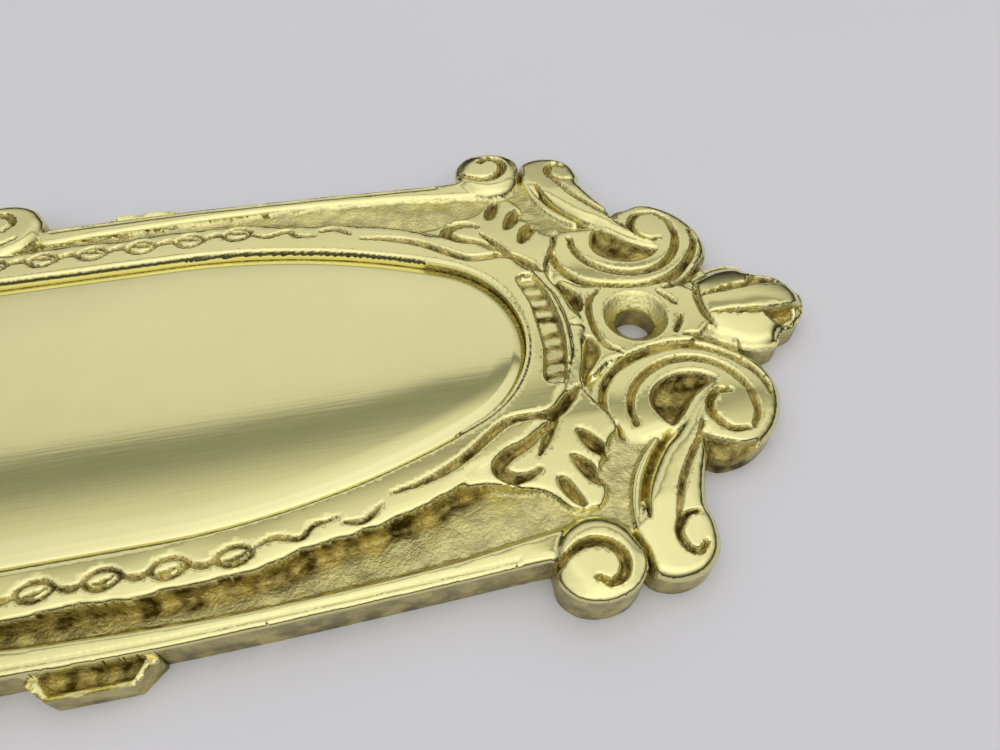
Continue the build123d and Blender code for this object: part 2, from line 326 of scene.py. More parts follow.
# %% The oval of the aperture
OVAL_LENGTH, OVAL_WIDTH, OVAL_END, OVAL_FLAT = 88.5, 20.8, 14.0, 43.5
OVAL_REACH = OVAL_LENGTH - OVAL_END - OVAL_FLAT
OVAL_SHOULDER = (OVAL_REACH**2 + OVAL_WIDTH**2 - OVAL_END**2) / (2 * (OVAL_WIDTH - OVAL_END))
OVAL_TURN = asin(OVAL_REACH / (OVAL_SHOULDER - OVAL_END))


def oval_distance(x, y):
    """How far a point lies outside the aperture's edge, in millimetres: negative inside it."""
    x, y = np.abs(x), np.abs(y)
    over_x, over_y = x - OVAL_FLAT, y - (OVAL_WIDTH - OVAL_SHOULDER)
    shoulder = np.hypot(over_x, over_y) - OVAL_SHOULDER
    end = np.hypot(x - OVAL_LENGTH + OVAL_END, y) - OVAL_END
    on_end = np.arctan2(over_x, over_y) > OVAL_TURN
    return np.where(x > OVAL_FLAT, np.where(on_end, end, shoulder), y - OVAL_WIDTH)


def oval_quarter(margin, spacing):
    """Points of a quarter of the oval, grown by margin, from (0, width) to (length, 0)."""
    shoulder, end = OVAL_SHOULDER + margin, OVAL_END + margin
    count = max(2, round(OVAL_FLAT / spacing))
    points = [(x, OVAL_WIDTH + margin) for x in np.linspace(0, OVAL_FLAT, count)[:-1]]
    count = max(3, round(OVAL_TURN * OVAL_SHOULDER / spacing))
    for angle in np.linspace(0, OVAL_TURN, count)[:-1]:
        out = OVAL_WIDTH - OVAL_SHOULDER + shoulder * cos(angle)
        points.append((OVAL_FLAT + shoulder * sin(angle), out))
    count = max(6, round((pi / 2 - OVAL_TURN) * OVAL_END / spacing))
    for angle in np.linspace(OVAL_TURN, pi / 2, count):
        points.append((OVAL_LENGTH - OVAL_END + end * sin(angle), max(0.0, end * cos(angle))))
    points[-1] = (OVAL_LENGTH + margin, 0.0)
    return np.array(points)


# %% Curves and distances


def smooth_line(points, closed=False, pieces=8):
    """A smooth curve through the points given, as a fine polyline."""
    p = np.array(points, float)
    if closed:
        p = np.vstack([p[-1], p, p[0], p[1]])
    else:
        p = np.vstack([2 * p[0] - p[1], p, 2 * p[-1] - p[-2]])
    out = []
    for a, b, c, d in zip(p[:-3], p[1:-2], p[2:-1], p[3:]):
        t = np.linspace(0, 1, pieces, endpoint=False)[:, None]
        square, cube = 2 * a - 5 * b + 4 * c - d, 3 * b - a - 3 * c + d
        out.append(0.5 * (2 * b + (c - a) * t + square * t**2 + cube * t**3))
    return np.vstack(out + ([] if closed else [p[-2:-1]]))


def nearest(line, x, y, closed=False):
    """Distance of each point from a polyline, and how far along it the nearest place is, 0 to 1."""
    line = np.vstack([line, line[:1]]) if closed else line
    best, along = np.full(x.shape, 1e9), np.zeros(x.shape)
    for i in range(len(line) - 1):
        (ax, ay), (dx, dy) = line[i], line[i + 1] - line[i]
        t = np.clip(((x - ax) * dx + (y - ay) * dy) / max(dx * dx + dy * dy, 1e-12), 0, 1)
        reach = np.hypot(x - ax - t * dx, y - ay - t * dy)
        closer = reach < best
        best = np.where(closer, reach, best)
        along = np.where(closer, (i + t) / (len(line) - 1), along)
    return best, along


def within(line, x, y):
    """Which points lie inside a closed polyline."""
    inside = np.zeros(x.shape, bool)
    for (ax, ay), (bx, by) in zip(line, np.roll(line, -1, axis=0)):
        if ay != by:
            inside ^= ((ay > y) != (by > y)) & (x < (bx - ax) * (y - ay) / (by - ay) + ax)
    return inside


def ease(value, low, high):
    """0 below low, 1 above high, and a smooth step between."""
    t = np.clip((value - low) / (high - low), 0, 1)
    return t * t * (3 - 2 * t)


def blended_max(a, b, soft):
    """The higher of two heights, with a fillet of about soft where they cross."""
    h = np.clip(0.5 + 0.5 * (a - b) / soft, 0, 1)
    return b * (1 - h) + a * h + soft * h * (1 - h)


def grain_noise(x, y, size, seed):
    """Smooth random height between -1 and 1, with lumps of the given size in millimetres."""
    heights = np.random.default_rng(seed).uniform(-1, 1, (256, 256))
    gx, gy = x / size, y / size
    ix, iy = np.floor(gx).astype(int), np.floor(gy).astype(int)
    fx, fy = ease(gx - ix, 0, 1), ease(gy - iy, 0, 1)

    def corner(i, j):
        return heights[(ix + i) % 256, (iy + j) % 256]

    return (corner(0, 0) * (1 - fx) * (1 - fy) + corner(1, 0) * fx * (1 - fy)
            + corner(0, 1) * (1 - fx) * fy + corner(1, 1) * fx * fy)


# %% [markdown]
# A *Carving* holds the height, the skin and the distance inside the plate's outline for a set of
# points, and has one method for each cut of the carver's tools.

# %% The carver's tools
FLOOR, OUTSIDE = 3.4, -3.0
EDGE_DROP, EDGE_POWER = 0.6, 2.8
CROWN_RUN, TAPER_RUN = 3, 0.3
BODY_REACH, GROOVE_REACH, POCKET_REACH = 3.0, 2.5, 1.5


class Carving:
    """Heights of the casting's front over points (x, y) of one quarter of the plate."""

    def __init__(self, x, y):
        self.x, self.y, self.along = x, y, x - hole
        self.z = np.full(x.shape, FLOOR)
        self.skin = np.ones(x.shape)
        self.inside = np.full(x.shape, OUTSIDE)

    def near_box(self, line, margin):
        """Which points are near enough to a line to be touched by a cut along it."""
        low, high = line.min(0) - margin, line.max(0) + margin
        return (self.along > low[0]) & (self.along < high[0]) & (self.y > low[1]) & (self.y < high[1])

    def raise_body(self, line, top, edge=0.9, wall=0.4, soft=0.2, crown=0.0):
        """A polished body with a rounded edge and a steep wall down to the ground outside it."""
        box = self.near_box(line, BODY_REACH)
        x, y = self.along[box], self.y[box]
        depth = nearest(line, x, y, closed=True)[0]
        depth = np.where(within(line, x, y), depth, -depth)
        top = top(x, y) if callable(top) else np.full(x.shape, top)
        bend = np.clip(1 - depth / edge, 0, 1)
        swell = crown * (1 - np.exp(-np.clip(depth, 0, None) / CROWN_RUN))
        z = top - EDGE_DROP * edge * bend**EDGE_POWER + swell
        outside = top - EDGE_DROP * edge - (top - FLOOR) * np.clip(-depth / wall, 0, 1.5)
        z = np.where(depth > 0, z, outside)
        self.z[box] = blended_max(z, self.z[box], soft)
        self.skin[box] = np.where(depth > -0.05, 0, self.skin[box])
        self.inside[box] = np.maximum(self.inside[box], depth)

    def taper(self, along, first, last):
        """1 along most of a line, and first or last times that at its ends."""
        start = first + (1 - first) * np.clip(along / TAPER_RUN, 0, 1)
        end = last + (1 - last) * np.clip((1 - along) / TAPER_RUN, 0, 1)
        return np.minimum(start, end)

    def cut_groove(self, points, width, depth, first=1.0, last=1.0, skin=1.0, smooth=True):
        """A round-bottomed groove along a line. first and last narrow its two ends."""
        line = smooth_line(points) if smooth else points
        box = self.near_box(line, GROOVE_REACH)
        away, along = nearest(line, self.along[box], self.y[box])
        thin = self.taper(along, first, last)
        across = np.clip(away / (width / 2 * thin), 0, 1)
        self.z[box] -= depth * (1 - ease(across, 0.2, 1.0)) * thin**0.7
        self.skin[box] = np.maximum(self.skin[box], skin * (1 - ease(across, 0.35, 0.8)))

    def raise_ridge(self, points, width, top, first=1.0, last=1.0, soft=0.2):
        """A round-topped polished ridge along a line."""
        line = smooth_line(points)
        box = self.near_box(line, GROOVE_REACH)
        away, along = nearest(line, self.along[box], self.y[box])
        half = width / 2 * self.taper(along, first, last)
        bend = np.clip(away / half, 0, 1)
        z = top - 0.9 * half * (1 - np.sqrt(1 - bend * bend)) - 3 * np.clip(away - half, 0, None)
        self.z[box] = blended_max(z, self.z[box], soft)
        self.skin[box] *= ease(away, 0.6 * half, 1.2 * half)

    def sink_pocket(self, points, depth, edge=0.8, smooth=True):
        """A sunk pocket with a closed outline and sloping sides."""
        line = smooth_line(points, closed=True) if smooth else points
        box = self.near_box(line, POCKET_REACH)
        x, y = self.along[box], self.y[box]
        inward = nearest(line, x, y, closed=True)[0]
        inward = np.where(within(line, x, y), inward, -inward)
        self.z[box] -= depth * ease(inward, -0.25 * edge, 0.75 * edge)
        self.skin[box] = np.maximum(self.skin[box], ease(inward, -0.05, 0.3))


print("carver's tools ready")

# %% [markdown]
# ### Bodies
# First the masses: sunken ground, border ring, the flat field at the end, the land round the
# screw hole, the big scroll, the S-shaped bar with its volute, the bowed rail that rolls up into
# the corner volute, the bud at the tip, the side tab, and the volutes and crest at the middle.

# %% Ground and ring
RING_TOP, RING_WIDTH, RING_BEVEL, LIP_EDGE = 6.0, 5.75, 0.7, 4.5
RING_CAMBER, RING_CREST, RING_EDGE, RING_SCARP = 0.05, 2.8, 0.8, 3.4
# the last value below is how much the ground's painted shade and cast skin fade away from the ring's foot
GROUND_SLOPE, GROUND_FALL, SHADE_AND_SKIN_FADE = 0.18, 0.9, 0.66
# height, size and seed of each layer of lumps, in the ground and in the ring's wavy edge
GROUND_LUMPS = ((0.16, 2.1, 3), (0.10, 0.9, 4))
RING_WAVE = ((0.30, 4.2, 7), (0.18, 1.7, 8))
GROUND_LINE = np.array(
    [(-hole, 0), (-hole, 31.0), (-80, 30.2), (-62, 31.0), (-48, 31.0), (-32, 30.6), (-16, 30.2),
     (-9, 31.0), (-5, 29), (0.4, 21.5), (6, 15), (11, 9), (12.5, 4), (12.5, 0)], float)


def lumps_at(carving, layers):
    """Layers of random lumps, added up."""
    return sum(height * grain_noise(carving.x, carving.y, size, seed) for height, size, seed in layers)


def lay_ground(carving):
    """Rough cast ground, lower under the ring's edge and rising a little towards the rail."""
    depth = nearest(GROUND_LINE, carving.along, carving.y, closed=True)[0]
    depth = np.where(within(GROUND_LINE, carving.along, carving.y), depth, -depth)
    carving.inside = np.maximum(carving.inside, depth)
    lumps = lumps_at(carving, GROUND_LUMPS)
    from_ring = oval_distance(carving.x, carving.y) - RING_WIDTH
    slope = GROUND_SLOPE * np.clip(from_ring, 0, 5)
    fall = GROUND_FALL * (1 - ease(depth, -0.6, 0.3))
    carving.z = FLOOR - 0.15 + slope + lumps - fall
    # painted shade, partly real cast skin: the ground stays dull and dark brown in a wavy band along the
    # ring's foot, where shade falls under the ring's edge, and is partly cleaned, lighter and glossier
    # further out
    carving.skin = 1 - SHADE_AND_SKIN_FADE * ease(from_ring + 2 * lumps, 1.5, 2.6)


def raise_ring(carving):
    """The flat border: a bevel down to the flap inside, a hand-cut wavy edge outside."""
    out = oval_distance(carving.x, carving.y)
    width = RING_WIDTH + lumps_at(carving, RING_WAVE)
    top = RING_TOP - RING_CAMBER * ((out - RING_CREST) / RING_CREST) ** 2
    bevel = LIP_EDGE + (top - LIP_EDGE) * ease(out, -0.2, RING_BEVEL)
    z = np.where(out < RING_BEVEL, bevel, top)
    bend = np.clip((out - width + RING_EDGE) / RING_EDGE, 0, 1)
    z = z - 0.4 * bend**2.2 - RING_SCARP * np.clip(out - width, 0, None)
    carving.z = blended_max(z, carving.z, 0.25)
    carving.skin = np.where(out < width + 0.05, 0.0, carving.skin)
    carving.inside = np.where(out < width, np.maximum(carving.inside, width - out), carving.inside)


# %% The end field, the land round the hole, the scroll and the bar
FIELD_TOP, LAND_TOP, SCROLL_TOP, BAR_TOP = 5.75, 4.9, 5.0, 5.3
FIELD = smooth_line([
    (-30, 19.0), (-27, 20.6), (-23.5, 20.9), (-20.5, 21.9), (-18, 22.6), (-16.6, 23.6), (-15.2, 25.2),
    (-13.4, 25.6), (-11.6, 25.4), (-10.6, 23.4), (-11.0, 21.4), (-9.7, 19.6), (-8.6, 17.6), (-7.2, 16.2),
    (-7.6, 14), (-8.7, 12), (-9.6, 10), (-9.4, 8), (-8.6, 6), (-8, 3), (-8, 0), (-20, -1), (-24, 8),
    (-26, 14)], closed=True)
LAND = smooth_line([
    (-10, 0), (-9.6, 5), (-8.3, 8.2), (-5.5, 6.5), (-2.5, 6.1), (1.5, 5.9), (5, 5.6), (8, 3.9),
    (9.5, 2.2), (10, 0), (9.5, -2.5), (5, -5.6), (0, -6.2), (-5, -5.6), (-9, -4)], closed=True)
SCROLL = smooth_line([
    (-9.3, 10.5), (-8.6, 8.2), (-5.2, 6.0), (-1, 5.3), (4, 4.9), (9, 6.2), (12.4, 8.4), (14.0, 11.0),
    (14.1, 14), (12.9, 17.2), (10.6, 19.9), (7.4, 21.6), (4, 21.9), (2.2, 20.4), (2, 18.6), (0, 17.8),
    (-3, 18.2), (-6, 18.3), (-7.9, 16.2), (-8.9, 13)], closed=True)
BAR = smooth_line([
    (-9.3, 28.6), (-9.4, 31.5), (-8.2, 34.0), (-5.6, 35.0), (-2.6, 34.4), (-0.6, 32.4), (-0.1, 29.6),
    (-0.4, 27.3), (0.6, 24.2), (2.3, 20.6), (3.4, 17.2), (6.6, 13.4), (6.8, 12.2), (5.6, 12.2),
    (2.6, 14.4), (-0.4, 17.6), (-3, 19.8), (-5.6, 23.2), (-7.6, 26.2)], closed=True)


def field_top(along, out):
    return FIELD_TOP - 0.035 * np.clip(along + 20, 0, 20) - 0.04 * np.clip(out - 14, 0, 12)


def scroll_top(along, out):
    return SCROLL_TOP - 0.006 * ((along - 3) ** 2 + (out - 14.5) ** 2)


def bar_top(along, out):
    return BAR_TOP - 0.10 * np.clip(out - 26, 0, 10)


def raise_end(carving):
    """The bodies of the end. Each top is a plane or a dome that falls away a little."""
    carving.raise_body(FIELD, field_top, edge=0.8, wall=0.35)
    carving.raise_body(LAND, LAND_TOP, edge=0.6, soft=0.25)
    carving.raise_body(SCROLL, scroll_top, edge=1.6)
    carving.raise_body(BAR, bar_top, edge=1.6, wall=0.35, crown=0.1)
    carving.raise_ridge([
        (-8.6, 28.9), (-8.1, 26), (-6.9, 22.9), (-5.2, 20.5),
        (-3.4, 18.6)], 1.25, 4.9, first=0.6, last=0.6)


# %% Rail, bud, tab and the middle
RAIL_TOP, BUD_TOP, VOLUTE_TOP, CREST_TOP, TAB_TOP = 5.0, 5.3, 5.9, 5.3, 3.0
RAIL = smooth_line([
    (-78, 31.6), (-70, 31.9), (-58, 32.0), (-45, 31.7), (-32, 31.2), (-19, 30.7), (-18.6, 31.4),
    (-18.4, 33.6), (-16.6, 35.5), (-13.8, 36.1), (-11.0, 35.4), (-9.1, 33.4), (-8.8, 31.2), (-9.6, 29.4),
    (-11, 28.2), (-15, 27.1), (-20, 27.5), (-28, 28.5), (-35, 29.0), (-45, 29.5), (-55, 29.6),
    (-70, 29.1), (-78, 28.6)], closed=True, pieces=6)
BUD = smooth_line([
    (8.4, 0), (8.6, 4.2), (11.2, 6.6), (14.2, 7.7), (17, 7.2), (18.4, 5.4), (20.6, 4.6), (22.6, 2.6),
    (23.5, 0), (22.6, -2.6), (20.6, -4.6), (17, -7.2), (12, -7), (8.6, -4)], closed=True)
TAB_MIDDLE, TAB_ARMS = hole - 65.0, 5
TAB = np.array([(-71.3, 30), (-71.3, 32.4), (-69.0, 34.5), (-61.0, 34.5), (-58.7, 32.4), (-58.7, 30)])
TAB_RECESS = np.array([(-69.8, 32.15), (-69.0, 33.75), (-61.0, 33.75), (-60.2, 32.15)])
KNOB_CENTRE, KNOB_RADIUS = (-13.75, 31.25), 4.85
knob_turn = np.linspace(0, 2 * pi, 41)[:-1]
KNOB = KNOB_RADIUS * np.c_[np.cos(knob_turn), np.sin(knob_turn)] + KNOB_CENTRE
MIDDLE_VOLUTE = smooth_line([
    (-78.2, 31.4), (-78.4, 33.6), (-80.2, 36.2), (-83.6, 37.25), (-87.2, 36.4), (-89.4, 34.2),
    (-89.9, 31.2), (-88.6, 27.9), (-84.8, 26.2), (-81, 27.2), (-79, 29)], closed=True)
CREST = smooth_line([
    (-89, 28.2), (-94, 27.6), (-99, 27.2), (-103.5, 27.0), (-108, 27), (-108, 36), (-103.5, 36.2),
    (-99, 35.4), (-94.5, 33.9), (-91, 33.2), (-88.6, 33.4)], closed=True)


def rail_top(along, out):
    return RAIL_TOP + 0.5 * ease(along, -22, -15) * ease(out, 28, 32)


def bud_top(along, out):
    return BUD_TOP - 0.030 * out**2 - 0.02 * np.clip(along - 16, 0, 9) ** 2


def raise_sides(carving):
    """The rail with its knob, the bud, and the volute and crest at the middle."""
    carving.raise_body(RAIL, rail_top, edge=0.9, wall=0.3)
    carving.raise_body(KNOB, VOLUTE_TOP, edge=2.2, wall=0.3, soft=0.3)
    carving.raise_body(BUD, bud_top, edge=2.4, wall=0.35, crown=0.3)
    carving.raise_body(MIDDLE_VOLUTE, VOLUTE_TOP, edge=1.4, wall=0.35)
    carving.raise_body(CREST, CREST_TOP, edge=1.4, wall=0.35)


def raise_tab(carving):
    """The tab is lower than the ground, so it counts only outside the rail, and is dull beside it."""
    beyond = np.clip(nearest(TAB, carving.along, carving.y, closed=True)[0], 0, 1)
    on_tab = within(TAB, carving.along, carving.y) & (carving.inside < 0)
    carving.z = np.where(on_tab, TAB_TOP - 0.2 * (1 - ease(beyond, 0, 0.35)), carving.z)
    by_rail = (carving.y < TAB_RECESS[0, 1] + 0.3) & (np.abs(carving.x - TAB_MIDDLE) < TAB_ARMS)
    carving.skin = np.where(on_tab, by_rail, carving.skin)
    carving.inside = np.where(on_tab, np.maximum(carving.inside, beyond), carving.inside)


# %% [markdown]
# ### Cuts
# Then the cuts: leaf marks and pockets in the field, the little ladder round the oval's end, arcs
# round the screw hole, the turns of the scroll, the lines along the bar, the eyes of the
# volutes, the folds of the bud, and the chain of eyelets engraved along the ring.

# %% Cuts in the end field and round the hole


def cut_field(carving):
    """The vein along the ring, the leaf with its two lobes and the three claw marks."""
    groove, pocket = carving.cut_groove, carving.sink_pocket
    groove([
        (-34, 20.2), (-31, 19.6), (-28, 18.6), (-25, 17.0), (-22, 14.8), (-20, 13.6), (-18, 13.3),
        (-15.5, 13.4)], 1.25, 0.9, first=0.25, last=0.9)
    groove([(-15.8, 13.5), (-13.6, 12.9), (-11.8, 11.2), (-10.2, 9.7)], 1.7, 1.1, first=0.7, last=0.2)
    groove([(-14, 13.2), (-15.2, 15.4), (-17.2, 18.4)], 1.3, 0.9, first=0.8, last=0.3)
    groove([
        (-15.4, 14.7), (-18, 16.6), (-20.6, 17.7), (-22, 19.2), (-20.9, 20.6), (-19, 20.7),
        (-17.4, 20.0)], 1.9, 1.2, first=0.4, last=0.35)
    pocket([(-12.2, 15.7), (-11.2, 16.0), (-9.6, 17.9), (-9.4, 19.8), (-11.1, 18.9), (-12.0, 17.2)], 1.5)
    pocket([
        (-13.6, 18.9), (-12.6, 19.2), (-11.2, 20.8), (-10.8, 23.2), (-12.3, 22.4), (-13.3, 20.6)], 1.5)
    pocket([
        (-15.8, 21.4), (-14.9, 21.5), (-14.0, 23.2), (-13.4, 25.2), (-14.6, 24.8), (-15.7, 23.0)], 1.3)
    groove([(-9.9, 9.9), (-8.9, 12.2), (-7.6, 14.6), (-6.9, 17.4)], 0.7, 0.7)


LADDER_STEP, LADDER_RUNGS = 2.05, 5


def cut_ladder(carving):
    """A sunk strip bent round the oval's end, with a round rung every couple of millimetres."""
    carving.sink_pocket([
        (-13.2, -3), (-13.2, 0), (-13.3, 4), (-14.2, 8.2), (-13.2, 9.2), (-11.6, 8.7), (-10.5, 4),
        (-10.1, 0), (-10.1, -3)], 1.15, edge=0.45)
    for k in range(LADDER_RUNGS):
        out = 0.35 + LADDER_STEP * k
        middle = -11.65 - 0.0135 * out * out
        carving.raise_ridge([(middle - 0.75, out + 0.1), (middle - 0.1, out), (middle + 0.45, out - 0.1)],
                            1.35, 4.75, soft=0.12)


def cut_round_hole(carving):
    """Arcs and a pocket that set off the boss of the screw hole."""
    groove = carving.cut_groove
    groove([(-3.4, 5.6), (-5.2, 3.9), (-5.9, 1.4), (-5.9, -1.4)], 0.9, 0.8, first=0.3)
    carving.sink_pocket([
        (-7.3, 2.2), (-6.4, 3.0), (-6.3, 5.0), (-7.6, 6.8), (-9.4, 8.8), (-8.9, 6.4),
        (-8.1, 4.4)], 1.2, edge=0.7)
    groove([(4.3, 3.4), (5.3, 2.0), (5.9, 0.9)], 0.8, 0.8, first=0.8, last=0.3)
    groove([(8.8, -1.6), (8.8, 0), (8.9, 1.6), (9.6, 3.6)], 0.9, 0.7, last=0.3)


# %% Cuts in the scroll, the bar, the volutes, the bud and the tab


def cut_scroll(carving):
    """The turns of the scroll, its hollow and its eye."""
    groove, pocket = carving.cut_groove, carving.sink_pocket
    groove([
        (-8.1, 13.4), (-7.6, 10.8), (-5.9, 8.3), (-3.2, 6.6), (0.6, 5.6), (4.6, 5.6), (8.2, 7.0),
        (11, 9.6), (12.5, 12.4), (12.6, 14.6)], 1.35, 1.2, first=0.7, last=0.4)
    groove([(5.2, 4.1), (7.8, 4.9), (10.8, 7.0), (13.2, 9.6)], 1.0, 0.9, first=0.5, last=0.5)
    groove([
        (-4.9, 16.0), (-4.9, 13.6), (-3.6, 10.8), (-0.8, 8.6), (2.6, 7.7), (6.2, 8.4), (8.9, 10.8),
        (10.1, 13.8), (9.9, 17), (8.6, 18.9)], 1.15, 1.15, first=0.7, last=0.5)
    pocket([
        (-2.2, 14.4), (-1.9, 12.2), (-0.2, 10.6), (2.4, 9.8), (5.0, 10.2), (6.6, 11.4), (5.2, 12.2),
        (3.0, 13.6), (0.8, 15.9), (-0.8, 17.0)], 1.6, edge=1.2)
    groove([
        (7.8, 13.5), (6.0, 13.5), (4.6, 14.8), (4.4, 16.8), (5.8, 18.7),
        (8.0, 19.0)], 1.1, 1.3, first=0.5, last=0.5)
    pocket([
        (2.2, 18.6), (3.4, 19.4), (6.4, 20.6), (8.6, 20.7), (6.6, 22.2), (3.4, 22.4),
        (1.8, 20.8)], 1.2, edge=0.7)


def cut_bar(carving):
    """Lines along the bar, and the curl of its volute."""
    groove = carving.cut_groove
    groove([
        (-4.2, 28.8), (-3.3, 26.6), (-2.4, 24.6), (-0.6, 22.0), (1.2, 19.8),
        (2.8, 17.4)], 0.9, 0.7, first=0.6, last=0.5)
    groove([
        (-7.2, 27.9), (-6.6, 25), (-5.5, 22.4), (-3.6, 19.7),
        (-1.4, 17.8)], 0.8, 0.9, first=0.6, last=0.6)
    groove([
        (-1.6, 28.2), (-3.2, 28.4), (-4.5, 29.8), (-4.3, 31.6), (-3.1, 32.5),
        (-1.9, 31.6)], 1.0, 1.2, first=0.4, last=0.6)
    groove([(-9.4, 29.4), (-8.6, 31.6), (-8.6, 34.6)], 1.0, 1.4)


def cut_sides(carving):
    """The knob's spiral, the line along the rail, the bud's fold and pit, the tab and the middle."""
    groove = carving.cut_groove
    groove([
        (-18.4, 31.8), (-16.8, 30.5), (-14.6, 29.7), (-12.5, 30.3), (-11.4, 31.9), (-11.8, 33.6),
        (-13.3, 34.4), (-14.6, 33.6)], 1.35, 1.6, first=0.5, last=0.6)
    groove([
        (-77, 30.9), (-70, 31.1), (-58, 31.2), (-45, 30.9), (-32, 30.4),
        (-22, 30.0)], 0.8, 0.22, skin=0.0)
    groove([(9.8, 1.6), (13, 2.0), (16, 2.3), (19, 2.4), (22.4, 1.9)], 1.0, 1.5, first=0.3)
    carving.sink_pocket([
        (16.6, 2.4), (18.6, 2.0), (20.4, 2.4), (20.6, 3.6), (18.8, 4.4), (17.2, 4.0)], 1.5, edge=0.9)
    carving.sink_pocket(TAB_RECESS, 1.0, edge=0.4, smooth=False)
    groove([
        (-81.2, 29.6), (-83.6, 28.6), (-86.4, 29.8), (-87.4, 32.4), (-85.8, 34.8), (-83.2, 34.6),
        (-82.2, 32.8), (-83.4, 31.4)], 1.1, 1.3, first=0.3, last=0.6)
    for out in (0, 3.6, 7.4):
        groove([(-103.5 + 0.45 * out, 28.6), (-103.5 + out, 34.6)], 1.1, 0.8, first=0.4, last=0.7)


# %% The chain of eyelets
EYELET_PITCH, EYELET_LENGTH, EYELET_WIDTH = 6.5, 3.8, 2.1
FIRST_EYELET, CHAIN_OUT, EYELETS = -50.8, 24.2, 9
INNER_STROKE = ((-1.0, 0.42), (0.2, 0.3), (1.2, -0.1))
LINK_STROKE = ((-1.9, 0.15), (-3.0, 0.45), (-4.6, -0.05))


def cut_chain(carving):
    """Almond eyelets joined by twisted strokes; towards the end of the plate the chain fades."""
    turn_points = np.linspace(0, 2 * pi, 25)
    for k in range(EYELETS):
        middle = FIRST_EYELET - EYELET_PITCH * k
        swell = np.sin(turn_points) * np.abs(np.sin(turn_points)) ** 0.6
        across = middle + EYELET_LENGTH / 2 * np.cos(turn_points)
        eyelet = np.c_[across, CHAIN_OUT + EYELET_WIDTH / 2 * swell]
        carving.cut_groove(eyelet, 0.66, 0.5, smooth=False)
        inner = [(middle + a, CHAIN_OUT + o) for a, o in INNER_STROKE]
        link = [(middle + a, CHAIN_OUT + o) for a, o in LINK_STROKE]
        carving.cut_groove(inner, 0.6, 0.35, first=0.4, last=0.4)
        carving.cut_groove(link, 0.9, 0.55, first=0.4, last=0.4)
    carving.cut_groove([
        (-48.6, 23.6), (-46.6, 23.0), (-44, 23.6), (-42.6, 22.4),
        (-40, 21.9)], 0.8, 0.5, first=0.5, last=0.4)
    carving.cut_groove([(-39.4, 22.6), (-37.2, 22.8), (-35.2, 21.2)], 0.9, 0.55, first=0.5, last=0.3)


# %% The screw hole, and the whole carving in order
BORE, SINK = 2.5, 4.25
TURNED_SKIN = 0.22


def sink_hole(carving):
    """A countersink at 45 degrees, a little dull from the tool, with a bright rim."""
    away = np.hypot(carving.along, carving.y)
    cone = LAND_TOP - (SINK - away)
    carving.z = np.where(away < SINK, np.minimum(carving.z, cone), carving.z)
    rim = np.where(away < SINK + 0.2, 0, carving.skin)
    carving.skin = np.where(away < SINK - 0.1, TURNED_SKIN, rim)


BLOCK = 6000


def carve(x, y):
    """Height, skin and distance inside the outline at points of one quarter, a block at a time."""
    done = []
    for first in range(0, len(x), BLOCK):
        carving = Carving(x[first:first + BLOCK], y[first:first + BLOCK])
        for tool in (lay_ground, raise_ring, raise_end, raise_sides, raise_tab, cut_field, cut_ladder,
                     cut_round_hole, cut_scroll, cut_bar, cut_sides, cut_chain, sink_hole):
            tool(carving)
        done.append((carving.z, carving.skin, carving.inside))
    return [np.concatenate(column) for column in zip(*done)]


print("heights at two points", carve(np.array([100.0, 50.0]), np.array([10.0, 24.0]))[0].round(2))

# %% [markdown]
# ### From heights to a mesh
# The skin needs points where the shape bends, and few where it is flat. A fine grid is tried
# first: where the height bends between neighbours every point is kept, elsewhere only every
# second or third. Points along the outline, the aperture and the two centrelines are added, so
# that the four quarters meet point for point, and grid points too near those are dropped. The
# far end of the plate gets a coarser mesh than the near end.

# %% The points of one quarter
FINE = 0.25
KEEP_OFF = 0.14
RIM_STEP = 0.32
NEAR_BEND, FAR_BEND = 0.10, 0.40
RIM_CLEAR = 0.17


def resample(line, step):
    """Points set evenly along a closed polyline."""
    line = np.vstack([line, line[:1]])
    run = np.concatenate([[0], np.cumsum(np.hypot(*np.diff(line, axis=0).T))])
    at = np.linspace(0, run[-1], max(2, round(run[-1] / step)), endpoint=False)
    return np.c_[np.interp(at, run, line[:, 0]), np.interp(at, run, line[:, 1])]


def rim_points():
    """Points round the plate's outline: those on a body's own outline that no other covers."""
    found = []
    for line in (GROUND_LINE, FIELD, LAND, SCROLL, BAR, RAIL, KNOB, BUD, TAB, MIDDLE_VOLUTE, CREST):
        points = resample(line, RIM_STEP) + (hole, 0)
        points = points[(points[:, 0] > 0.1) & (points[:, 1] > 0.1)]
        inside = carve(points[:, 0], points[:, 1])[2]
        found.append(points[inside < 0.03])
    return np.vstack(found)


def nearest_point(points, others, block=2000):
    """Distance of each point to the nearest of the others."""
    out = []
    for first in range(0, len(points), block):
        part = points[first:first + block, None, :] - others[None, :, :]
        out.append(np.sqrt((part**2).sum(2).min(1)))
    return np.concatenate(out)


rim = rim_points()
lip = oval_quarter(0, 0.4)
centre_y = np.arange(OVAL_WIDTH, HALF_WIDTH, 0.45)[1:-1]
centre_x = np.arange(OVAL_LENGTH, HALF_LENGTH, FINE)[1:-1]
ends = np.array([(0, OVAL_WIDTH + 16.2), (HALF_LENGTH, 0)])
seams = np.vstack([np.c_[centre_x, 0 * centre_x], np.c_[0 * centre_y, centre_y], ends])
bore = hole + 0j + BORE * np.exp(1j * np.linspace(0, pi, 25))
bore = np.c_[bore.real, bore.imag.clip(0)]
tab_root = resample(RAIL, RIM_STEP) + (hole, 0)
tab_root = tab_root[within(TAB + (hole, 0), tab_root[:, 0], tab_root[:, 1])]
edges = np.vstack([rim, lip, seams, tab_root - (0, 0.06), tab_root + (0, 0.12)])


